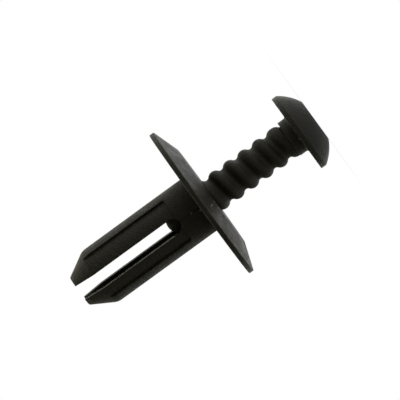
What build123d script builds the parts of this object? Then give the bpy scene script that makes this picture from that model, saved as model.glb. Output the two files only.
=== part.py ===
from build123d import *
import math
import os

# Plastic push rivet, in millimetres: a flanged sleeve whose slotted shank ends in two legs, and a
# threaded drive pin that slides down its bore. The pin is modelled drawn out, ready to be driven.
# The origin is on the axis, at the flange face that seats on the panel. +Z runs down the shank to
# the tip, and the slot runs through the shank along Y, so that the two legs stand at +X and -X.

# Fit
running_clearance = 0.05

# Sleeve flange
flange_diameter = 18.0
flange_thickness = 1.57
flange_rim_height = 0.55
flange_flat_diameter = 12.0
flange_edge_bevel = 0.06
flange_flat_edge_radius = 0.5

# Sleeve shank
shank_diameter = 6.64
shank_length = 15.63
shank_root_bevel = 0.12
leg_draft_angle = 0.1
tip_taper_length = 2.7
tip_end_diameter = 3.5
tip_blend_radius = 1.6
tip_edge_bevel = 0.15

# Slot and legs
slot_width = 1.75
collar_length = 2.68
panel_setback = 2.81
panel_depth = 0.25
panel_arc = 105.0
panel_turn = 7.5
panel_corner_radius = 0.5

# Bore that the pin runs in
bore_tip_diameter = 2.5
bore_taper_angle = 27.0

# Pin head
head_diameter = 9.0
head_height = 2.45
head_rim_height = 0.62
head_flat_diameter = 4.8
head_dome_radius = 5.3
head_edge_bevel = 0.06

# Pin neck, thread and nose
neck_diameter = 4.2
neck_length = 0.98
neck_root_bevel = 0.2
thread_crest_diameter = 4.05
thread_root_diameter = 3.2
thread_pitch = 1.89
thread_crest_flat = 0.4
thread_shoulder_width = 0.24
thread_shoulder_angle = 25.0
thread_flank_angle = 47.0
thread_start_angle = -22.5
thread_lead_in_angle = 45.0
thread_run_out = 0.4
nose_length = 1.9

# Cross recess in the head
recess_span = 3.6
recess_wing_width = 0.9
recess_corner_radius = 0.25
recess_depth = 1.3
recess_wall_angle = 8.0

# Positions of the pin along the sleeve
pin_travel = 11.1
nose_setback = 0.45

# Derived places and radii
shank_radius = shank_diameter / 2
panel_radius = shank_radius - panel_depth
root_radius = thread_root_diameter / 2
crest_radius = thread_crest_diameter / 2
bore_radius = crest_radius + running_clearance
neck_bore_radius = max(neck_diameter, thread_crest_diameter) / 2 + running_clearance
driven_nose_z = shank_length - nose_setback
pin_length = flange_thickness + driven_nose_z
head_seat_z = -flange_thickness - pin_travel
nose_z = head_seat_z + pin_length
ridge_sink = 0.25
OVERSHOOT = 1.0


def revolved(profile):
    """Turn a closed XZ outline once around the Z axis."""
    return revolve(Plane.XZ * profile, Axis.Z)


def corner(outline, x, z):
    """The outline's vertex nearest a stated corner."""
    return outline.vertices().sort_by_distance((x, z))[0]


def sleeve_blank():
    """Flange, collar, drafted shank and tapered tip, before anything is cut."""
    rim, flat, tip = flange_diameter / 2, flange_flat_diameter / 2, tip_end_diameter / 2
    taper_z = shank_length - tip_taper_length
    leg_end = shank_radius - (taper_z - collar_length) * math.tan(math.radians(leg_draft_angle))
    outline = make_face(
        Polyline(
            (0, -flange_thickness),
            (flat, -flange_thickness),
            (rim, -flange_rim_height),
            (rim, 0),
            (shank_radius, 0),
            (shank_radius, collar_length),
            (leg_end, taper_z),
            (tip, shank_length),
            (0, shank_length),
            close=True,
        )
    )
    bevels = (
        (rim, -flange_rim_height, flange_edge_bevel),
        (rim, 0, flange_edge_bevel),
        (shank_radius, 0, shank_root_bevel),
        (tip, shank_length, tip_edge_bevel),
    )
    for x, z, width in bevels:
        outline = chamfer(corner(outline, x, z), width)
    outline = fillet(corner(outline, flat, -flange_thickness), flange_flat_edge_radius)
    outline = fillet(corner(outline, leg_end, taper_z), tip_blend_radius)
    return revolved(outline)


def sleeve_bore():
    """Everything the pin passes through: neck seat, straight run and the narrowing towards the tip.

    The mouth is bevelled as the root of the neck is, and the narrowing is a cone that stands off
    the driven pin's round nose.
    """
    angle = math.radians(bore_taper_angle)
    nose_centre_z = driven_nose_z - root_radius
    stand_off = root_radius + 2 * running_clearance

    def taper_z(radius):
        return nose_centre_z + (stand_off - radius * math.cos(angle)) / math.sin(angle)

    neck_end_z = -flange_thickness + neck_length + running_clearance
    tip_bore_radius = bore_tip_diameter / 2
    outline = make_face(
        Polyline(
            (0, -flange_thickness),
            (neck_bore_radius + neck_root_bevel, -flange_thickness),
            (neck_bore_radius, -flange_thickness + neck_root_bevel),
            (neck_bore_radius, neck_end_z),
            (bore_radius, neck_end_z),
            (bore_radius, taper_z(bore_radius)),
            (tip_bore_radius, taper_z(tip_bore_radius)),
            (tip_bore_radius, shank_length),
            (0, shank_length),
            close=True,
        )
    )
    return revolved(outline)


def slot():
    """The through slot: full round at the collar and open at the tip."""
    radius = slot_width / 2
    reach = shank_diameter + 2 * OVERSHOOT
    round_z = collar_length + radius
    length = shank_length + OVERSHOOT - round_z
    straight = Pos(0, 0, round_z) * Box(
        slot_width, reach, length, align=(Align.CENTER, Align.CENTER, Align.MIN)
    )
    return straight + Pos(0, 0, round_z) * Rot(90, 0, 0) * Cylinder(radius, reach)


def leg_panels():
    """The two shallow windows that leave a full-radius pad along the back of each leg."""
    half_arc = panel_arc / 2
    outer = shank_radius + OVERSHOOT
    sector = make_face(
        Curve()
        + CenterArc((0, 0), outer, -half_arc, panel_arc)
        + Line((0, 0), polar(outer, -half_arc))
        + Line((0, 0), polar(outer, half_arc))
    )
    ring = sector - Circle(panel_radius)
    window = extrude(ring, shank_length + OVERSHOOT - panel_setback)
    ends = window.edges().filter_by(GeomType.LINE).group_by(Axis.Z)[0]
    window = fillet(ends, panel_corner_radius)
    placed = Pos(0, 0, panel_setback) * window
    return [Rot(0, 0, centre + panel_turn) * placed for centre in (-90, 90)]


def polar(radius, angle):
    """Point in the XY plane at an angle in degrees."""
    return (radius * math.cos(math.radians(angle)), radius * math.sin(math.radians(angle)))


def make_sleeve():
    return sleeve_blank() - sleeve_bore() - slot() - leg_panels()


def thread_ridge(length):
    """Right-hand ridge wound once round the pin for each pitch, from the XY plane upwards.

    Its section has a flat crest, a shoulder and a steeper flank on each side, and it is sunk below
    the root to join the core.
    """
    crest = crest_radius - root_radius
    half_crest = thread_crest_flat / 2
    half_shoulder = half_crest + thread_shoulder_width
    shoulder = crest - thread_shoulder_width * math.tan(math.radians(thread_shoulder_angle))
    half_base = half_shoulder + (shoulder + ridge_sink) / math.tan(math.radians(thread_flank_angle))
    flank = [(-ridge_sink, half_base), (shoulder, half_shoulder), (crest, half_crest)]
    opposite = [(x, -z) for x, z in reversed(flank)]
    section = make_face(Polyline(*flank, *opposite, close=True))
    across = Plane(origin=(root_radius, 0, 0), x_dir=(1, 0, 0), z_dir=(0, -1, 0))
    return sweep(across * section, path=Helix(thread_pitch, length, root_radius), is_frenet=True)


def threaded_shank():
    """Core and thread, from the head's underside to the nose, where a lead-in cone fades the thread."""
    length = pin_length - root_radius
    bare_length = pin_length - nose_length
    ridge = Rot(0, 0, thread_start_angle) * thread_ridge(bare_length)
    blank = crest_radius + OVERSHOOT
    lead_in = (blank - root_radius) / math.tan(math.radians(thread_lead_in_angle))
    envelope = make_face(
        Polyline(
            (0, 0),
            (blank, 0),
            (blank, bare_length - lead_in),
            (root_radius, bare_length),
            (root_radius, length),
            (0, length),
            close=True,
        )
    )
    core = Cylinder(root_radius, length, align=(Align.CENTER, Align.CENTER, Align.MIN))
    return Pos(0, 0, head_seat_z) * (core + ridge & revolved(envelope))


def pin_head():
    """Domed head with a flat to push, and the neck, which ends in the cone where the thread runs out."""
    rim, flat, neck = head_diameter / 2, head_flat_diameter / 2, neck_diameter / 2
    top_z = head_seat_z - head_height
    rim_z = head_seat_z - head_rim_height
    neck_z = head_seat_z + neck_length
    dome = RadiusArc((flat, top_z), (rim, rim_z), -head_dome_radius)
    run_out_z = neck_z + thread_run_out
    sides = Polyline(
        (rim, rim_z),
        (rim, head_seat_z),
        (neck, head_seat_z),
        (neck, neck_z),
        (crest_radius, neck_z),
        (root_radius, run_out_z),
        (0, run_out_z),
    )
    outline = make_face(Curve() + [dome, sides, Polyline((0, run_out_z), (0, top_z), (flat, top_z))])
    bevels = (
        (flat, top_z, head_edge_bevel),
        (rim, rim_z, head_edge_bevel),
        (rim, head_seat_z, head_edge_bevel),
        (neck, head_seat_z, neck_root_bevel),
    )
    for x, z, width in bevels:
        outline = chamfer(corner(outline, x, z), width)
    return revolved(outline)


def cross_recess():
    """Two crossed wings that narrow towards the bottom of the recess, with rounded inner corners."""
    wings = [
        extrude(Rectangle(*sides), recess_depth, taper=recess_wall_angle)
        for sides in ((recess_span, recess_wing_width), (recess_wing_width, recess_span))
    ]
    cross = wings[0] + wings[1]
    inner_corners = cross.edges().sort_by_distance((0, 0, recess_depth / 2))[:4]
    return Pos(0, 0, head_seat_z - head_height) * fillet(inner_corners, recess_corner_radius)


def make_drive_pin():
    nose = Pos(0, 0, nose_z - root_radius) * Sphere(root_radius)
    return pin_head() - cross_recess() + threaded_shank() + nose


nodes = {"sleeve": make_sleeve(), "drive_pin": make_drive_pin()}

os.makedirs("parts", exist_ok=True)
for name, shape in nodes.items():
    export_step(shape, f"parts/{name}.step")
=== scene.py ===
import logging
import math
from collections.abc import Callable
from dataclasses import dataclass
from enum import Enum

import bmesh
import bpy
from mathutils import Matrix, Vector


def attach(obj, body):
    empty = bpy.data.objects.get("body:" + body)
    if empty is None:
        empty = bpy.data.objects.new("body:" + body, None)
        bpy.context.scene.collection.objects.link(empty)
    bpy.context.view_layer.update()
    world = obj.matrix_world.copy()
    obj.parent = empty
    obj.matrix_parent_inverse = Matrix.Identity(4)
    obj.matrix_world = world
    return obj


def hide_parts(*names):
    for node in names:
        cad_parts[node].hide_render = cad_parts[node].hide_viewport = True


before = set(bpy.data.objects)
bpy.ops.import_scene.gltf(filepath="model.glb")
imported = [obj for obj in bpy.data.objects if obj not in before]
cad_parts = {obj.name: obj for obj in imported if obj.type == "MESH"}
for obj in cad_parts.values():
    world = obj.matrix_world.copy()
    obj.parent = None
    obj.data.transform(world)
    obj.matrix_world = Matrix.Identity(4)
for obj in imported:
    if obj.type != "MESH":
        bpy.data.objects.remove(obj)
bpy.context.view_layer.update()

# Looks of a plastic push rivet: a flanged sleeve with two split legs, and the threaded drive pin
# that stands drawn out of it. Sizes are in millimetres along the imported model's axes: +Z runs
# towards the leg tips, and the rivet stands on the flat of its pin's head.

log = logging.getLogger("push_rivet")
MM = 0.001
Point = tuple[float, float]
Point3 = tuple[float, float, float]
Colour = tuple[float, float, float, float]

NEAR = 0.001  # closer than this, two points or heights are one
OVERSHOOT = 1.0  # how far a cutting shape stands clear of what it cuts
MERGE_WIDTH = 0.004  # points of a cut mesh that are closer than this are merged
SLIVER_WIDTH = 0.002  # edges of a cut mesh that are shorter than this are dissolved
WORN_AND_LIT_WIDTH = 0.12  # a wider face isn't worn, nor painted with the edge highlight
WORN_AND_LIT_SHARE = 0.6  # more of a worn and highlighted face's outline than this bends outwards
SHADING_WEIGHT = 60
WHITE: Colour = (1.0, 1.0, 1.0, 1.0)


class EdgeKind(Enum):
    """How far the faces at an edge must turn before the edge is treated as a corner, in degrees."""

    CUT = 28.0
    SHADED = 34.0
    WORN_AND_LIT = 5.0


class Mark(Enum):
    """Face attributes that a finish reads: 1 where they hold, 0 elsewhere."""

    WORN_AND_LIT = "worn_edge"
    MATT = "matt_zone"


class Ramp(Enum):
    """How a node's value goes from its start to its end."""

    SOFT = "SMOOTHSTEP"
    STRAIGHT = "LINEAR"


class Socket(Enum):
    """What a node group's socket carries."""

    COLOUR = "NodeSocketColor"
    NUMBER = "NodeSocketFloat"
    PLACE = "NodeSocketVector"


# ---------------------------------------------------------------- outlines and mesh helpers


def arc(centre: Point, radius: float, start: float, end: float, steps: int) -> list[Point]:
    """Points along a circular arc in the radius and height plane.

    Args:
        centre: Centre of the arc.
        radius: Radius of the arc.
        start: Angle of the first point, in degrees.
        end: Angle of the last point, in degrees.
        steps: Number of equal steps between them.

    Returns:
        The points, both ends included.
    """
    turns = [math.radians(start + (end - start) * i / steps) for i in range(steps + 1)]
    return [(centre[0] + radius * math.cos(a), centre[1] + radius * math.sin(a)) for a in turns]


def rounded(corners: list[Point3], steps: int = 4) -> list[Point]:
    """An outline with its corners rounded to their own radii.

    Args:
        corners: Radius, height and rounding of each corner in order. The two ends stay sharp.
        steps: Number of steps in each rounding.

    Returns:
        The outline's points.
    """
    points = [corners[0][:2]]
    for before, here, after in zip(corners, corners[1:], corners[2:]):
        if not here[2]:
            points.append(here[:2])
            continue
        corner = Vector(here[:2])
        back = (Vector(before[:2]) - corner).normalized()
        on = (Vector(after[:2]) - corner).normalized()
        half = back.angle(on) / 2
        centre = corner + (back + on).normalized() * here[2] / math.sin(half)
        first = corner + back * here[2] / math.tan(half) - centre
        last = corner + on * here[2] / math.tan(half) - centre
        spokes = [first, *(first.slerp(last, i / steps) * here[2] for i in range(1, steps)), last]
        points += [tuple(centre + spoke) for spoke in spokes]
    points.append(corners[-1][:2])
    return points


def turned(outline: list[Point], steps: int, closed: bool) -> bmesh.types.BMesh:
    """Spin an outline once round the Z axis.

    Args:
        outline: Radius and height of each point.
        steps: Number of steps round the axis.
        closed: Whether the last point joins the first, as in a ring's section.

    Returns:
        The turned shell, with its normals outwards.
    """
    bm = bmesh.new()
    row = [bm.verts.new((r, 0.0, z)) for r, z in outline]
    for a, b in zip(row, row[1:]):
        bm.edges.new((a, b))
    if closed:
        bm.edges.new((row[-1], row[0]))
    bmesh.ops.spin(
        bm, geom=bm.verts[:] + bm.edges[:], cent=(0, 0, 0), axis=(0, 0, 1), dvec=(0, 0, 0),
        angle=math.tau, steps=steps, use_merge=True, use_duplicate=False,
    )
    bmesh.ops.remove_doubles(bm, verts=bm.verts[:], dist=NEAR)
    bmesh.ops.recalc_face_normals(bm, faces=bm.faces[:])
    return bm


def to_object(bm: bmesh.types.BMesh, name: str) -> bpy.types.Object:
    """Turn a mesh in millimetres into an object in metres, and link it.

    Args:
        bm: The mesh, which is freed.
        name: Name of the object.

    Returns:
        The new object, at the origin and unscaled.
    """
    bmesh.ops.scale(bm, vec=(MM, MM, MM), verts=bm.verts[:])
    mesh = bpy.data.meshes.new(name)
    bm.to_mesh(mesh)
    bm.free()
    made = bpy.data.objects.new(name, mesh)
    bpy.context.scene.collection.objects.link(made)
    return made


def cut(piece: bpy.types.Object, cutters: list[bmesh.types.BMesh]) -> None:
    """Cut shapes out of a piece and keep the result as its own mesh.

    Args:
        piece: The piece to cut.
        cutters: Closed shapes in millimetres, which are freed.
    """
    tools = [to_object(bm, f"{piece.name}_cutter_{i}") for i, bm in enumerate(cutters)]
    for tool in tools:
        step = piece.modifiers.new("cut", "BOOLEAN")
        step.operation, step.solver, step.object = "DIFFERENCE", "EXACT", tool
    graph = bpy.context.evaluated_depsgraph_get()
    mesh = bpy.data.meshes.new_from_object(piece.evaluated_get(graph))
    piece.modifiers.clear()
    piece.data = mesh
    mesh.name = piece.name
    for tool in tools:
        bpy.data.objects.remove(tool)


def bend(edge: bmesh.types.BMEdge) -> float:
    """Angle between the two faces at an edge, in degrees."""
    return math.degrees(edge.calc_face_angle(0.0))


def mark_corners(bm: bmesh.types.BMesh) -> None:
    """Mark the narrow faces that round the outer corners, where handling wears the surface and a
    lighter tone paints the highlight that the edges catch.

    Args:
        bm: The finished mesh, in metres.
    """
    mark = bm.faces.layers.float.new(Mark.WORN_AND_LIT.value)
    for face in bm.faces:
        lengths = [edge.calc_length() for edge in face.edges]
        bent = [
            edge.calc_length() for edge in face.edges
            if edge.is_convex and bend(edge) > EdgeKind.WORN_AND_LIT.value
        ]
        narrow = face.calc_area() / max(lengths) < WORN_AND_LIT_WIDTH * MM
        face[mark] = float(sum(bent) > WORN_AND_LIT_SHARE * sum(lengths) and narrow)


def mark_zone(piece: bpy.types.Object, mark: Mark, chosen: Callable[[Vector], bool]) -> None:
    """Mark the faces of a piece that lie in one zone.

    Args:
        piece: The piece.
        mark: The mark to set.
        chosen: Whether a face whose middle lies at a point, in millimetres, is in the zone.
    """
    layer = piece.data.attributes.new(mark.value, "FLOAT", "FACE")
    for face in piece.data.polygons:
        layer.data[face.index].value = float(chosen(face.center / MM))


def soften(
    piece: bpy.types.Object, width: float, segments: int, wanted: Callable[[Vector], bool],
) -> None:
    """Round a cut piece's corners a little, and shade it smoothly between them.

    Args:
        piece: The piece to finish.
        width: Width of the rounding, in millimetres. Short edges beside a corner hold it back.
        segments: Number of facets in each rounding.
        wanted: Whether to round a corner whose middle lies at a point, in millimetres.
    """
    bm = bmesh.new()
    bm.from_mesh(piece.data)
    bmesh.ops.remove_doubles(bm, verts=bm.verts[:], dist=MERGE_WIDTH * MM)
    bmesh.ops.dissolve_degenerate(bm, edges=bm.edges[:], dist=SLIVER_WIDTH * MM)
    corners = [
        edge for edge in bm.edges
        if edge.is_manifold and bend(edge) > EdgeKind.CUT.value
        and wanted((edge.verts[0].co + edge.verts[1].co) / 2 / MM)
    ]
    bmesh.ops.bevel(
        bm, geom=corners, offset=width * MM, offset_type="OFFSET", affect="EDGES",
        segments=segments, profile=0.5, material=-1, clamp_overlap=True,
    )
    mark_corners(bm)
    for face in bm.faces:
        face.smooth = True
    for edge in bm.edges:
        edge.smooth = bend(edge) < EdgeKind.SHADED.value
    bm.to_mesh(piece.data)
    bm.free()
    even = piece.modifiers.new("even_shading", "WEIGHTED_NORMAL")
    even.keep_sharp = True
    even.weight = SHADING_WEIGHT


# ---------------------------------------------------------------- node helper


class Wiring:
    """One node tree, with short ways to add its nodes and join them."""

    def __init__(self, tree: bpy.types.NodeTree) -> None:
        """Take a tree and empty it."""
        self.tree = tree
        tree.nodes.clear()

    def plug(self, value: object, socket: bpy.types.NodeSocket) -> None:
        """Link a socket to another, or set its value.

        Args:
            value: The value, or the output to link.
            socket: The input that takes it.
        """
        if isinstance(value, bpy.types.NodeSocket):
            self.tree.links.new(value, socket)
        else:
            socket.default_value = value

    def add(
        self, kind: str, values: dict[str | int, object] | None = None, **settings: object,
    ) -> bpy.types.Node:
        """Add a shader node.

        Args:
            kind: Type of the node, without its prefix.
            values: What goes into its inputs, by their name or number: a value or a socket.
            settings: The node's own properties.

        Returns:
            The new node.
        """
        node = self.tree.nodes.new(f"ShaderNode{kind}")
        for name, setting in settings.items():
            setattr(node, name, setting)
        for name, value in (values or {}).items():
            self.plug(value, node.inputs[name])
        return node

    def place(self) -> bpy.types.NodeSocket:
        """Object coordinates."""
        return self.add("TexCoord").outputs["Object"]

    def mark(self, mark: Mark) -> bpy.types.NodeSocket:
        """The value of a face mark, which is 0 on a piece that has none."""
        return self.add("Attribute", attribute_name=mark.value).outputs["Fac"]

    def maths(self, operation: str, *values: object) -> bpy.types.NodeSocket:
        """One step of arithmetic."""
        return self.add("Math", dict(enumerate(values)), operation=operation).outputs[0]

    def vectors(self, operation: str, *values: object) -> bpy.types.NodeSocket:
        """One step of vector arithmetic that gives a vector."""
        node = self.add("VectorMath", dict(enumerate(values)), operation=operation)
        return node.outputs["Vector"]

    def measure(self, operation: str, *values: object) -> bpy.types.NodeSocket:
        """One step of vector arithmetic that gives a number."""
        node = self.add("VectorMath", dict(enumerate(values)), operation=operation)
        return node.outputs["Value"]

    def noise(self, scale: object, detail: float, rough: float) -> bpy.types.NodeSocket:
        """Noise over the piece."""
        values = {"Vector": self.place(), "Scale": scale, "Detail": detail, "Roughness": rough}
        return self.add("TexNoise", values).outputs["Fac"]

    def ramp(
        self, value: object, span: Point, levels: Point = (0.0, 1.0), kind: Ramp = Ramp.SOFT,
    ) -> bpy.types.NodeSocket:
        """Turn one span of a value into another, and hold it past both ends.

        Args:
            value: The value.
            span: Where the ramp starts and ends.
            levels: What it gives at its start and at its end.
            kind: How it goes between them.

        Returns:
            The ramp's result.
        """
        names = ("Value", "From Min", "From Max", "To Min", "To Max")
        values = dict(zip(names, (value, *span, *levels)))
        return self.add("MapRange", values, interpolation_type=kind.value).outputs["Result"]

    def blend(self, mode: str, share: object, under: object, over: object) -> bpy.types.NodeSocket:
        """One colour laid over another.

        Args:
            mode: How the two mix.
            share: How much of the upper colour shows.
            under: The lower colour.
            over: The upper colour.

        Returns:
            The colour that they make.
        """
        node = self.add("Mix", data_type="RGBA", blend_type=mode)
        for name, value in (("Factor", share), ("A", under), ("B", over)):
            self.plug(value, next(i for i in node.inputs if i.name == name and i.enabled))
        return next(o for o in node.outputs if o.enabled)

    def mix(
        self, share: object, first: bpy.types.NodeSocket, second: bpy.types.NodeSocket,
    ) -> bpy.types.NodeSocket:
        """A share of the second shader in the first."""
        return self.add("MixShader", {0: share, 1: first, 2: second}).outputs[0]


# ---------------------------------------------------------------- finishes


@dataclass(frozen=True)
class Nick:
    """A small pale mark: where its middle lies, and how far it reaches along each axis, in mm."""

    place: Point3
    reach: Point3


@dataclass(frozen=True)
class MouldedNylon:
    """Satin black nylon as it comes from the mould, with scuffed corners painted lighter, partly as
    wear and partly as a painted highlight, and a few specks of dust.

    Lengths are in millimetres: grain is the spark-eroded texture of the mould, flow the broad
    patches where the plastic filled unevenly, and dust the spacing of the places where a speck
    may lie. The matt rise is how much rougher a zone is that is marked as matt.
    """

    name: str
    colour: Point3
    roughness: float
    grain: float
    grain_depth: float
    flow: float
    flow_depth: float
    roughness_swing: float = 0.5
    matt_rise: float = 0.22
    tone_swing: float = 0.9
    # How strongly the corners are painted lighter, partly as wear and partly as a painted highlight.
    scuff_and_highlight: float = 1.0
    dust: float = 1.3
    dust_share: float = 0.12
    specular: float = 0.5
    ior: float = 1.45
    nicks: tuple[Nick, ...] = ()

    def material(self, effects: "SurfaceEffects") -> bpy.types.Material:
        """Build the material.

        Args:
            effects: The shared node groups.

        Returns:
            The finished material.
        """
        made = bpy.data.materials.new(self.name)
        made.use_nodes = True
        wires = Wiring(made.node_tree)
        skin = wires.add("Group", node_tree=effects.moulded)
        values = {
            "Colour": (*self.colour, 1.0),
            "Roughness": self.roughness,
            "Roughness Swing": self.roughness_swing,
            "Tone Swing": self.tone_swing,
            "Grain Scale": 1.0 / (self.grain * MM),
            "Flow Scale": 1.0 / (self.flow * MM),
            "Flow Share": self.flow_depth / self.grain_depth,
            "Corner": wires.mark(Mark.WORN_AND_LIT),
            "Scuff And Highlight": self.scuff_and_highlight,
            "Matt": wires.mark(Mark.MATT),
            "Matt Rise": self.matt_rise,
            "Dust Scale": 1.0 / (self.dust * MM),
            "Dust Share": self.dust_share,
        }
        for name, value in values.items():
            wires.plug(value, skin.inputs[name])
        colour = skin.outputs["Colour"]
        for nick in self.nicks:
            mark = wires.add("Group", node_tree=effects.nicked)
            wires.plug(colour, mark.inputs["Colour"])
            wires.plug(Vector(nick.place) * MM, mark.inputs["Place"])
            wires.plug(Vector(nick.reach) * MM, mark.inputs["Reach"])
            colour = mark.outputs["Colour"]
        relief = {"Strength": 1.0, "Distance": self.grain_depth * MM, "Height": skin.outputs["Height"]}
        shader = wires.add("BsdfPrincipled", {
            "Base Color": colour,
            "Roughness": skin.outputs["Roughness"],
            "IOR": self.ior,
            "Specular IOR Level": self.specular,
            "Normal": wires.add("Bump", relief).outputs["Normal"],
        })
        wires.add("OutputMaterial", {"Surface": shader.outputs["BSDF"]})
        return made


class SurfaceEffects:
    """The shader node groups that the finishes share."""

    DUST_TONE: Colour = (0.30, 0.29, 0.26, 1.0)
    # Worn corners are painted in this lighter tone, partly as wear and partly as a painted highlight
    # along the edges.
    SCUFF_AND_HIGHLIGHT_TONE: Colour = (0.14, 0.135, 0.115, 1.0)
    NOISE_MIDDLE = 0.5
    GRAIN_DETAIL, GRAIN_ROUGHNESS = 3.0, 0.6
    FLOW_DETAIL, FLOW_ROUGHNESS = 4.0, 0.55
    SCUFF_PATCHES: Point = (0.3, 0.6)
    SCUFF_ROUGHNESS = 0.08
    SPECK_EDGE: Point = (0.13, 0.05)
    SPECK_RAGGED = -0.12
    SPECK_HEIGHT = 2.0
    NICK_EDGE: Point = (1.9, 1.4)
    NICK_RAGGED = 1.6
    NICK_NOISE_PER_METRE = 6000.0
    NICK_NOISE_DETAIL, NICK_NOISE_ROUGHNESS = 2.0, 0.5

    def __init__(self) -> None:
        """Build every group once."""
        self.moulded = self._moulded_skin()
        self.nicked = self._nick()

    def _group(
        self, name: str, takes: dict[str, Socket], gives: dict[str, Socket],
    ) -> tuple[Wiring, bpy.types.NodeOutputs, bpy.types.NodeInputs]:
        """Start a node group.

        Args:
            name: Name of the group.
            takes: The group's inputs.
            gives: The group's outputs.

        Returns:
            The group's wiring, the sockets that carry its inputs and those that take its outputs.
        """
        tree = bpy.data.node_groups.new(name, "ShaderNodeTree")
        for side, sockets in (("INPUT", takes), ("OUTPUT", gives)):
            for label, kind in sockets.items():
                tree.interface.new_socket(label, in_out=side, socket_type=kind.value)
        wires = Wiring(tree)
        given, made = tree.nodes.new("NodeGroupInput"), tree.nodes.new("NodeGroupOutput")
        return wires, given.outputs, made.inputs

    def _nick(self) -> bpy.types.NodeTree:
        """A small pale mark with a ragged edge, at one place on the piece.

        Returns:
            The node group, with a colour as output.
        """
        wires, given, made = self._group(
            "nick",
            takes={"Colour": Socket.COLOUR, "Place": Socket.PLACE, "Reach": Socket.PLACE},
            gives={"Colour": Socket.COLOUR},
        )
        apart = wires.vectors("SUBTRACT", wires.place(), given["Place"])
        away = wires.measure("LENGTH", wires.vectors("DIVIDE", apart, given["Reach"]))
        ragged = wires.noise(
            self.NICK_NOISE_PER_METRE, self.NICK_NOISE_DETAIL, self.NICK_NOISE_ROUGHNESS,
        )
        uneven = wires.maths("MULTIPLY_ADD", ragged, self.NICK_RAGGED, away)
        inside = wires.ramp(uneven, self.NICK_EDGE)
        wires.plug(wires.blend("MIX", inside, given["Colour"], self.DUST_TONE), made["Colour"])
        return wires.tree

    def _moulded_skin(self) -> bpy.types.NodeTree:
        """Mould grain, uneven flow, scuffed corners that also carry a painted edge highlight, and dust
        on a moulded surface.

        Returns:
            The node group, with a colour, a roughness and a height as outputs.
        """
        numbers = (
            "Roughness", "Roughness Swing", "Tone Swing", "Grain Scale", "Flow Scale", "Flow Share",
            "Corner", "Scuff And Highlight", "Matt", "Matt Rise", "Dust Scale", "Dust Share",
        )
        wires, given, made = self._group(
            "moulded_skin",
            takes={"Colour": Socket.COLOUR} | dict.fromkeys(numbers, Socket.NUMBER),
            gives={"Colour": Socket.COLOUR, "Roughness": Socket.NUMBER, "Height": Socket.NUMBER},
        )
        grain = wires.noise(given["Grain Scale"], self.GRAIN_DETAIL, self.GRAIN_ROUGHNESS)
        flow = wires.noise(given["Flow Scale"], self.FLOW_DETAIL, self.FLOW_ROUGHNESS)
        mottle = wires.maths("SUBTRACT", grain, self.NOISE_MIDDLE)
        uneven = wires.maths("ADD", wires.maths("SUBTRACT", flow, self.NOISE_MIDDLE), mottle)
        tone = wires.maths("MULTIPLY_ADD", uneven, given["Tone Swing"], 1.0)
        colour = wires.blend("MULTIPLY", 1.0, given["Colour"], tone)

        # Corners are painted lighter in patches: partly wear, partly a painted highlight along the
        # edges.
        patches = wires.ramp(wires.maths("ADD", flow, mottle), self.SCUFF_PATCHES)
        worn_and_lit = wires.maths("MULTIPLY", patches, given["Corner"])
        scuffed_and_lit = wires.maths("MULTIPLY", worn_and_lit, given["Scuff And Highlight"])
        colour = wires.blend("MIX", scuffed_and_lit, colour, self.SCUFF_AND_HIGHLIGHT_TONE)

        cells = wires.add("TexVoronoi", {"Vector": wires.place(), "Scale": given["Dust Scale"]})
        lot = wires.add("SeparateColor", {"Color": cells.outputs["Color"]}).outputs["Red"]
        chosen = wires.maths("LESS_THAN", lot, given["Dust Share"])
        ragged = wires.maths("MULTIPLY_ADD", mottle, self.SPECK_RAGGED, cells.outputs["Distance"])
        dust = wires.maths("MULTIPLY", chosen, wires.ramp(ragged, self.SPECK_EDGE))
        colour = wires.blend("MIX", dust, colour, self.DUST_TONE)

        rough = wires.maths("MULTIPLY_ADD", uneven, given["Roughness Swing"], given["Roughness"])
        rough = wires.maths("MULTIPLY_ADD", scuffed_and_lit, self.SCUFF_ROUGHNESS, rough)
        rough = wires.maths("MULTIPLY_ADD", given["Matt"], given["Matt Rise"], rough)
        height = wires.maths("MULTIPLY_ADD", flow, given["Flow Share"], grain)
        height = wires.maths("MULTIPLY_ADD", dust, self.SPECK_HEIGHT, height)
        wires.plug(colour, made["Colour"])
        wires.plug(rough, made["Roughness"])
        wires.plug(height, made["Height"])
        return wires.tree


# ---------------------------------------------------------------- sizes that both mouldings share


@dataclass(frozen=True)
class Fit:
    """Sizes that the sleeve and the pin have in common, and the places that follow from them."""

    flange_thickness: float = 1.57
    shank_length: float = 15.63
    pin_travel: float = 11.1
    nose_setback: float = 0.45
    clearance: float = 0.05
    neck_radius: float = 2.1
    neck_length: float = 0.98
    neck_root: float = 0.2
    crest_radius: float = 2.025
    root_radius: float = 1.6

    @property
    def flange_top(self) -> float:
        """Height of the flange's outer flat."""
        return -self.flange_thickness

    @property
    def head_seat(self) -> float:
        """Height of the pin head's underside with the pin drawn out."""
        return self.flange_top - self.pin_travel

    @property
    def driven_nose(self) -> float:
        """Height of the pin's nose once it is driven home."""
        return self.shank_length - self.nose_setback

    @property
    def nose(self) -> float:
        """Height of the pin's nose with the pin drawn out."""
        return self.driven_nose - self.pin_travel


# ---------------------------------------------------------------- sleeve


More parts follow.
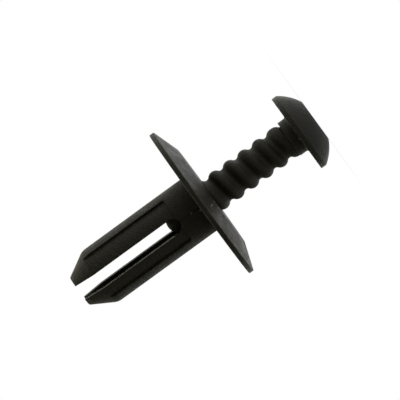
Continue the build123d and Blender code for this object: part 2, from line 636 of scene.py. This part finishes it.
@dataclass
class Sleeve:
    """Flanged sleeve: one moulding with a bored collar and two legs that the slot divides.

    The seam's groove is one row of points wide, between two facets of the turned collar: its row
    and its spread say how far from the parting line its points and its edges lie, in facets.
    """

    nylon: MouldedNylon
    fit: Fit = Fit()
    steps: int = 180
    round_steps: int = 6
    flange_radius: float = 9.0
    flange_rim: float = 0.55
    flange_flat_radius: float = 6.0
    flange_flat_edge: float = 0.5
    rim_outer_edge: float = 0.09
    rim_inner_edge: float = 0.08
    shank_root: float = 0.12
    shank_radius: float = 3.32
    collar_length: float = 2.68
    leg_draft: float = 0.1
    taper_length: float = 2.7
    taper_blend: float = 1.6
    tip_radius: float = 1.75
    tip_edge: float = 0.25
    slot_width: float = 1.75
    slot_steps: int = 24
    panel_setback: float = 2.81
    panel_depth: float = 0.25
    panel_arc: float = 105.0
    panel_turn: float = 7.5
    panel_corner: float = 0.5
    panel_steps: int = 64
    panel_corner_steps: int = 8
    bore_taper_angle: float = 27.0
    tip_bore_radius: float = 1.25
    edge: float = 0.07
    edge_steps: int = 3
    seam_depth: float = 0.12
    seam_turn: float = 2.0
    seam_reach: float = 0.01
    seam_row: float = 0.5
    seam_spread: float = 1.1

    @property
    def bore_radius(self) -> float:
        """Radius of the bore's straight run."""
        return self.fit.crest_radius + self.fit.clearance

    @property
    def cutter_end(self) -> float:
        """Height at which the slot's and the windows' spaces end, past the leg tips."""
        return self.fit.shank_length + OVERSHOOT

    def bore_taper(self, radius: float) -> float:
        """Height at which the narrowing bore has a radius: it stands off the driven pin's nose.

        Args:
            radius: Radius of the bore.

        Returns:
            The height.
        """
        angle = math.radians(self.bore_taper_angle)
        centre = self.fit.driven_nose - self.fit.root_radius
        stand_off = self.fit.root_radius + 2 * self.fit.clearance
        return centre + (stand_off - radius * math.cos(angle)) / math.sin(angle)

    def section(self) -> list[Point]:
        """The ring's section, from the bore's mouth round the outside and back up the bore.

        Returns:
            Radius and height of each point.
        """
        fit, top, tip = self.fit, self.fit.flange_top, self.fit.shank_length
        taper_z = tip - self.taper_length
        drawn_in = (taper_z - self.collar_length) * math.tan(math.radians(self.leg_draft))
        mouth = fit.neck_radius + fit.clearance
        seat = top + fit.neck_length + fit.clearance
        outside = rounded([
            (mouth + fit.neck_root, top, 0),
            (self.flange_flat_radius, top, self.flange_flat_edge),
            (self.flange_radius, -self.flange_rim, self.rim_outer_edge),
            (self.flange_radius, 0.0, self.rim_inner_edge),
            (self.shank_radius, 0.0, self.shank_root),
            (self.shank_radius, self.collar_length, 0),
            (self.shank_radius - drawn_in, taper_z, self.taper_blend),
            (self.tip_radius, tip, self.tip_edge),
            (self.tip_bore_radius, tip, 0),
        ], self.round_steps)
        inside = [
            (self.tip_bore_radius, self.bore_taper(self.tip_bore_radius)),
            (self.bore_radius, self.bore_taper(self.bore_radius)),
            (self.bore_radius, seat),
            (mouth, seat),
            (mouth, top + fit.neck_root),
        ]
        return outside + inside

    def slot(self) -> bmesh.types.BMesh:
        """The through slot's space, full round at the collar.

        Returns:
            A flat-sided block that reaches past the shank and the tip.
        """
        bm = bmesh.new()
        radius, reach = self.slot_width / 2, self.shank_radius + OVERSHOOT
        end = arc((0.0, self.collar_length + radius), radius, 0, -180, self.slot_steps)
        outline = [(radius, self.cutter_end), *end, (-radius, self.cutter_end)]
        face = bm.faces.new([bm.verts.new((x, -reach, z)) for x, z in outline])
        grown = bmesh.ops.extrude_face_region(bm, geom=[face])
        far = [g for g in grown["geom"] if isinstance(g, bmesh.types.BMVert)]
        bmesh.ops.translate(bm, vec=(0, 2 * reach, 0), verts=far)
        bmesh.ops.recalc_face_normals(bm, faces=bm.faces[:])
        return bm

    def panel(self, centre: float) -> bmesh.types.BMesh:
        """The shallow window's space on one side of the slot.

        Args:
            centre: Direction of the window's middle, in degrees from +X.

        Returns:
            A curved block with rounded corners at the collar.
        """
        bm = bmesh.new()
        inner, outer = self.shank_radius - self.panel_depth, self.shank_radius + OVERSHOOT
        low, high = self.panel_setback, self.cutter_end
        corners = [(inner, low), (outer, low), (outer, high), (inner, high)]
        row = [bm.verts.new((r, 0.0, z)) for r, z in corners]
        side = bm.faces.new(row)
        start = Matrix.Rotation(math.radians(centre - self.panel_arc / 2), 3, "Z")
        bmesh.ops.rotate(bm, cent=(0, 0, 0), matrix=start, verts=row)
        bmesh.ops.spin(
            bm, geom=[side], cent=(0, 0, 0), axis=(0, 0, 1), dvec=(0, 0, 0),
            angle=math.radians(self.panel_arc), steps=self.panel_steps, use_duplicate=False,
        )
        bmesh.ops.recalc_face_normals(bm, faces=bm.faces[:])
        ends = [edge for edge in bm.edges if self.is_panel_end(edge)]
        bmesh.ops.bevel(
            bm, geom=ends, offset=self.panel_corner, offset_type="OFFSET", affect="EDGES",
            segments=self.panel_corner_steps, profile=0.5, material=-1, clamp_overlap=False,
        )
        return bm

    def is_panel_end(self, edge: bmesh.types.BMEdge) -> bool:
        """Whether an edge is a corner of the window's space at the collar.

        Args:
            edge: The edge.

        Returns:
            Whether it runs outwards between the block's lower side and one of its upright ends.
        """
        first, second = (vert.co for vert in edge.verts)
        low = all(abs(point.z - self.panel_setback) < NEAR for point in (first, second))
        outwards = abs(first.xy.length - second.xy.length) > self.panel_depth
        upright = [face for face in edge.link_faces if abs(face.normal.z) < NEAR]
        return low and outwards and len(upright) == 1

    def score_seam(self, bm: bmesh.types.BMesh) -> None:
        """Sink the fine line that the mould's parting leaves on both sides of the collar.

        Args:
            bm: The turned sleeve.
        """
        for vert in bm.verts:
            on_collar = 0.0 < vert.co.z < self.collar_length + NEAR
            outside = abs(vert.co.xy.length - self.shank_radius) < self.seam_reach
            if on_collar and outside and self.facets_off_seam(vert.co) < self.seam_row:
                vert.co.xy = vert.co.xy * (1 - self.seam_depth / self.shank_radius)

    def facets_off_seam(self, point: Vector) -> float:
        """Turn from the nearer of the mould's two parting lines to a point, in facets."""
        turn = math.degrees(math.atan2(point.y, point.x)) - 90 - self.seam_turn
        return abs((turn + 90) % 180 - 90) * self.steps / 360

    def is_corner(self, point: Vector) -> bool:
        """Whether an edge is a corner to round, and not one of the seam's own.

        Args:
            point: Middle of the edge.

        Returns:
            Whether to round it.
        """
        on_seam = self.facets_off_seam(point) < self.seam_spread
        on_collar = self.shank_root < point.z < self.collar_length - NEAR
        outside = point.xy.length > self.shank_radius - self.seam_depth - NEAR
        return not (on_seam and on_collar and outside)

    def build(self, effects: SurfaceEffects) -> bpy.types.Object:
        """Make the moulding and dress it.

        Args:
            effects: The shared shader node groups.

        Returns:
            The finished piece.
        """
        bm = turned(self.section(), self.steps, closed=True)
        self.score_seam(bm)
        piece = to_object(bm, "sleeve_moulding")
        cut(piece, [self.slot(), self.panel(self.panel_turn - 90), self.panel(self.panel_turn + 90)])
        soften(piece, self.edge, self.edge_steps, self.is_corner)
        piece.data.materials.append(self.nylon.material(effects))
        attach(piece, "sleeve")
        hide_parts("sleeve")
        return piece


# ---------------------------------------------------------------- drive pin


@dataclass
class DrivePin:
    """Drive pin: a domed head, a short neck and a coarse right-hand thread with a round nose."""

    nylon: MouldedNylon
    fit: Fit = Fit()
    steps: int = 144
    round_steps: int = 5
    head_radius: float = 4.5
    head_height: float = 2.45
    head_rim: float = 0.62
    head_flat_radius: float = 2.4
    rim_inner_edge: float = 0.09
    rim_outer_edge: float = 0.15
    flat_edge: float = 0.12
    flat_margin: float = 0.3
    dome_radius: float = 5.3
    dome_steps: int = 20
    neck_edge: float = 0.05
    nose_steps: int = 14
    bare_nose: float = 1.9
    pitch: float = 1.89
    run_out_start: float = 2.7
    run_out_length: float = 0.9
    run_out_widening: float = 0.3
    start_angle: float = -22.5
    crest_round: float = 0.8
    root_round: float = 0.47
    flank_share: float = 1.63
    recess_span: float = 3.6
    recess_wing: float = 0.9
    recess_corner: float = 0.25
    recess_corner_steps: int = 6
    recess_depth: float = 1.3
    recess_wall_angle: float = 8.0
    recess_overshoot: float = 0.5
    recess_edge: float = 0.06
    recess_edge_steps: int = 2
    ring_pitch: float = 0.06

    @property
    def head_top(self) -> float:
        """Height of the flat that the pin is pushed by."""
        return self.fit.head_seat - self.head_height

    @property
    def neck_end(self) -> float:
        """Height at which the neck gives way to the thread."""
        return self.fit.head_seat + self.fit.neck_length

    @property
    def thread_end(self) -> float:
        """Height at which the thread has faded out, short of the nose."""
        return self.fit.nose - self.bare_nose

    def dome(self) -> list[Point]:
        """The domed flank, from the rim to the flat that the pin is pushed by.

        Returns:
            Radius and height of each point.
        """
        rim = Vector((self.head_radius, self.fit.head_seat - self.head_rim))
        flat = Vector((self.head_flat_radius, self.head_top))
        chord = flat - rim
        sag = math.sqrt(self.dome_radius ** 2 - (chord.length / 2) ** 2)
        centre = (rim + flat) / 2 + Vector((chord.y, -chord.x)).normalized() * sag
        start, end = (math.degrees(math.atan2(*(p - centre).yx)) for p in (rim, flat))
        return arc(tuple(centre), self.dome_radius, start, end, self.dome_steps)

    def outline(self) -> list[Point]:
        """The pin's outline before the thread is raised, from the nose to the middle of the head.

        Returns:
            Radius and height of each point.
        """
        neck, root, seat = self.fit.neck_radius, self.fit.root_radius, self.fit.head_seat
        nose_centre = self.fit.nose - root
        nose = arc((0.0, nose_centre), root, 90, 0, self.nose_steps)
        rings = round((nose_centre - self.neck_end) / self.ring_pitch)
        step = (nose_centre - self.neck_end) / rings
        shaft = [(root, nose_centre - step * i) for i in range(1, rings)]
        dome = self.dome()
        head = rounded([
            (root, self.neck_end, 0),
            (neck, self.neck_end, self.neck_edge),
            (neck, seat, self.fit.neck_root),
            (self.head_radius, seat, self.rim_inner_edge),
            (*dome[0], self.rim_outer_edge),
            (*dome[1], 0),
        ], self.round_steps)
        top = rounded([
            (*dome[-2], 0),
            (*dome[-1], self.flat_edge),
            (self.head_flat_radius - self.flat_margin, self.head_top, 0),
        ])
        return nose + shaft + head + dome[2:-2] + top + [(0.0, self.head_top)]

    def ridge(self, away: float) -> float:
        """Height of one turn of the thread above the root.

        Args:
            away: Distance from the middle of the turn's crest, along the pin.

        Returns:
            The height, from the full depth at the crest to 0 half a pitch away.
        """
        depth = self.fit.crest_radius - self.fit.root_radius
        left = max(self.pitch / 2 - away, 0.0)
        crest = self.crest_round - math.sqrt(max(self.crest_round ** 2 - away ** 2, 0.0))
        root = self.root_round - math.sqrt(max(self.root_round ** 2 - left ** 2, 0.0))
        return depth - crest if away < left * self.flank_share else root

    def thread_height(self, z: float, turn: float) -> float:
        """Height of the thread above its root, where two turns meet in a groove.

        The turns widen on their head side as the groove runs out towards the neck.

        Args:
            z: Height of the point.
            turn: How far round the pin the point lies from the thread's start, in degrees.

        Returns:
            The height of the taller of the two turns there.
        """
        past = (z - self.fit.head_seat - turn / 360 * self.pitch) % self.pitch
        short = self.pitch - past
        swell = (self.fit.head_seat + self.run_out_start - z - short) / self.run_out_length
        widening = self.run_out_widening * min(max(swell, 0.0), 1.0)
        return max(self.ridge(past), self.ridge(max(short - widening, 0.0)))

    def raise_thread(self, bm: bmesh.types.BMesh) -> None:
        """Push the turned shaft out into its thread, which fades at the nose.

        Args:
            bm: The turned pin.
        """
        root = self.fit.root_radius
        for vert in bm.verts:
            x, y, z = vert.co
            radius = math.hypot(x, y)
            if not self.neck_end - NEAR <= z < self.thread_end or radius > root + NEAR:
                continue
            turn = math.degrees(math.atan2(y, x)) - self.start_angle
            height = min(self.thread_height(z, turn), self.thread_end - z)
            grown = (root + height) / radius
            vert.co = (x * grown, y * grown, z)

    def cross(self, depth: float) -> list[Point]:
        """The cross recess's outline, drawn in by its sloping walls.

        Args:
            depth: How far the outline lies below the head's flat.

        Returns:
            The outline's points, with rounded inner corners.
        """
        inset = depth * math.tan(math.radians(self.recess_wall_angle))
        reach, half = self.recess_span / 2 - inset, self.recess_wing / 2 - inset
        turn = half + self.recess_corner
        corner = arc((turn, turn), self.recess_corner, 270, 180, self.recess_corner_steps)
        spins = [Matrix.Rotation(math.radians(angle), 2) for angle in (0, 90, 180, 270)]
        quarter = [(reach, -half), (reach, half), *corner]
        return [tuple(spin @ Vector(point)) for spin in spins for point in quarter]

    def recess(self) -> bmesh.types.BMesh:
        """The cross recess's space in the head's flat.

        Returns:
            A tapered cross that stands clear of the flat.
        """
        bm = bmesh.new()
        rings = [
            [bm.verts.new((x, y, self.head_top + depth)) for x, y in self.cross(depth)]
            for depth in (-self.recess_overshoot, self.recess_depth)
        ]
        for ring in rings:
            bm.faces.new(ring)
        corners = zip(*rings, *(ring[1:] + ring[:1] for ring in rings))
        for outer, inner, next_outer, next_inner in corners:
            bm.faces.new((outer, inner, next_inner, next_outer))
        bmesh.ops.recalc_face_normals(bm, faces=bm.faces[:])
        return bm

    def in_recess(self, point: Vector) -> bool:
        """Whether an edge at a point belongs to the recess or to its rim."""
        inside = point.xy.length < self.recess_span / 2 + self.recess_edge
        return inside and point.z < self.head_top + self.recess_depth + self.recess_edge

    def on_thread(self, point: Vector) -> bool:
        """Whether a point lies past the neck, on the thread or the nose."""
        return point.z > self.neck_end

    def build(self, effects: SurfaceEffects) -> bpy.types.Object:
        """Make the moulding and dress it.

        Args:
            effects: The shared shader node groups.

        Returns:
            The finished piece.
        """
        bm = turned(self.outline(), self.steps, closed=False)
        self.raise_thread(bm)
        piece = to_object(bm, "drive_pin_moulding")
        cut(piece, [self.recess()])
        soften(piece, self.recess_edge, self.recess_edge_steps, self.in_recess)
        mark_zone(piece, Mark.MATT, self.on_thread)
        piece.data.materials.append(self.nylon.material(effects))
        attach(piece, "pin")
        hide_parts("drive_pin")
        return piece


# ---------------------------------------------------------------- studio


@dataclass
class Studio:
    """Pale surroundings that dim away from the window's side, a pale floor and the camera.

    The camera sees the floor a little grey near the rivet, where its shadow falls, and plain white
    past that. Reflections see the floor glow, a painted light that is bright on the window's side
    and dim on the other. Floor dark and light, and wrap edge and full, are cosines of the angle
    from floor_side and wrap_centre. A ramp that is full past 1 never gets there.
    """

    floor_z: float = -15.13
    floor_radius: float = 1600.0
    floor_steps: int = 96
    floor_near: float = 15.3
    floor_far: float = 19.0
    floor_white_near: float = 0.7
    floor_colour: Colour = (0.8, 0.8, 0.8, 1.0)
    floor_side: Point3 = (0.45, 0.9, 0.0)
    floor_dark: float = -0.8
    floor_light: float = 0.95
    floor_glow_in_reflections: float = 0.95
    tint: Colour = (1.0, 0.985, 0.82, 1.0)
    wrap_centre: Point3 = (0.33, 0.7, 0.63)
    wrap_edge: float = 0.0
    wrap_full: float = 1.7
    wrap_level: float = 1.0
    dim_level: float = 0.09
    view_turn: float = 6.8
    view_roll: float = 126.0
    view_distance: float = 740.0
    eye_z: float = -13.27
    aim: Point = (0.343, -0.3345)
    frame_width: float = 42.23
    sensor_width: float = 36.0
    clip: Point = (0.05, 10.0)

    def camera(self) -> None:
        """Make the camera: a long lens, level with the pin's head and rolled to the rivet's slant."""
        turn = math.radians(self.view_turn)
        right = Vector((math.cos(turn), math.sin(turn), 0))
        back = Vector((math.sin(turn), -math.cos(turn), 0))
        aim = right * self.aim[0] + Vector((0, 0, self.aim[1]))
        eye = aim + back * self.view_distance
        eye.z = self.eye_z
        data = bpy.data.cameras.new("camera")
        data.sensor_width = self.sensor_width
        data.lens = self.sensor_width * (eye - aim).length / self.frame_width
        data.clip_start, data.clip_end = self.clip
        camera = bpy.data.objects.new("camera", data)
        camera.location = eye * MM
        facing = (eye - aim).to_track_quat("Z", "Y")
        rolled = facing.to_matrix() @ Matrix.Rotation(math.radians(-self.view_roll), 3, "Z")
        camera.rotation_mode = "QUATERNION"
        camera.rotation_quaternion = rolled.to_quaternion()
        bpy.context.scene.collection.objects.link(camera)
        bpy.context.scene.camera = camera

    def world(self) -> None:
        """Make the world: white seen directly, and a one-sided wrap in light and reflections."""
        world = bpy.data.worlds.new("studio")
        world.use_nodes = True
        wires = Wiring(world.node_tree)
        aside = wires.measure("DOT_PRODUCT", wires.place(), Vector(self.wrap_centre).normalized())
        span, levels = (self.wrap_edge, self.wrap_full), (self.dim_level, self.wrap_level)
        glow = {"Color": self.tint, "Strength": wires.ramp(aside, span, levels)}
        soft = wires.add("Background", glow).outputs[0]
        white = wires.add("Background", {"Color": WHITE}).outputs[0]
        path = wires.add("LightPath").outputs
        direct = wires.maths("MAXIMUM", path["Is Camera Ray"], path["Is Transmission Ray"])
        wires.add("OutputWorld", {"Surface": wires.mix(direct, soft, white)})
        bpy.context.scene.world = world

    def floor_material(self) -> bpy.types.Material:
        """A matt pale floor that is white where the camera sees it, and glows white in reflections as
        painted light.

        Returns:
            The finished material.
        """
        made = bpy.data.materials.new("floor_white")
        made.use_nodes = True
        wires = Wiring(made.node_tree)
        place, path = wires.place(), wires.add("LightPath").outputs
        spread = (self.floor_near * MM, self.floor_far * MM)
        fade = wires.ramp(wires.measure("LENGTH", place), spread, (self.floor_white_near, 1.0))
        # Painted light: reflections see the floor glow white, bright on the window's side and dim on
        # the other.
        outward, side = wires.vectors("NORMALIZE", place), Vector(self.floor_side).normalized()
        aside = wires.measure("DOT_PRODUCT", outward, side)
        turn = (self.floor_dark, self.floor_light)
        reflected_glow = wires.ramp(aside, turn, (0.0, self.floor_glow_in_reflections), Ramp.STRAIGHT)
        direct = wires.maths("MAXIMUM", path["Is Camera Ray"], path["Is Transmission Ray"])
        seen = wires.maths("MULTIPLY", fade, direct)
        glow_in_reflections = wires.maths("MULTIPLY", reflected_glow, path["Is Glossy Ray"])
        matt = wires.add("BsdfDiffuse", {"Color": self.floor_colour}).outputs[0]
        white = wires.add("Emission", {"Color": WHITE}).outputs[0]
        shown = wires.mix(wires.maths("MAXIMUM", seen, glow_in_reflections), matt, white)
        wires.add("OutputMaterial", {"Surface": shown})
        return made

    def floor(self) -> None:
        """Make the round pale floor under the rivet."""
        bm = bmesh.new()
        bmesh.ops.create_circle(
            bm, cap_ends=True, segments=self.floor_steps, radius=self.floor_radius,
        )
        bmesh.ops.translate(bm, vec=(0, 0, self.floor_z), verts=bm.verts[:])
        floor = to_object(bm, "floor")
        floor.data.materials.append(self.floor_material())

    def build(self) -> None:
        """Make the floor, the world and the camera."""
        self.floor()
        self.world()
        self.camera()


# ---------------------------------------------------------------- the rivet's own finishes


BLACK = (0.0225, 0.0213, 0.0112)
SLEEVE_NYLON = MouldedNylon(
    "sleeve_nylon", BLACK, roughness=0.42, grain=0.24, grain_depth=0.1, flow=1.6, flow_depth=0.08,
    nicks=(
        Nick((-0.17, -3.32, 0.24), (0.09, 0.2, 0.09)),
        Nick((0.05, -6.0, -1.55), (0.12, 0.35, 0.12)),
        Nick((0.03, -7.3, -1.13), (0.1, 0.7, 0.35)),
        Nick((-0.73, -6.0, -1.53), (0.12, 0.3, 0.1)),
    ),
)
PIN_NYLON = MouldedNylon(
    "pin_nylon", BLACK, roughness=0.36, grain=0.2, grain_depth=0.08, flow=1.4, flow_depth=0.06,
    specular=0.6, nicks=(Nick((-0.33, -2.2, -12.58), (0.11, 0.2, 0.1)),),
)


def main() -> None:
    """Build the rivet and its studio, and write down how large the result is."""
    effects = SurfaceEffects()
    for name, part in (("sleeve", Sleeve(SLEEVE_NYLON)), ("drive pin", DrivePin(PIN_NYLON))):
        piece = part.build(effects)
        log.info("%s: %d faces", name, len(piece.data.polygons))
    Studio().build()
    bpy.context.scene.view_settings.view_transform = "Standard"


if __name__ == "__main__":
    logging.basicConfig(level=logging.INFO, format="%(name)s: %(message)s")
    main()
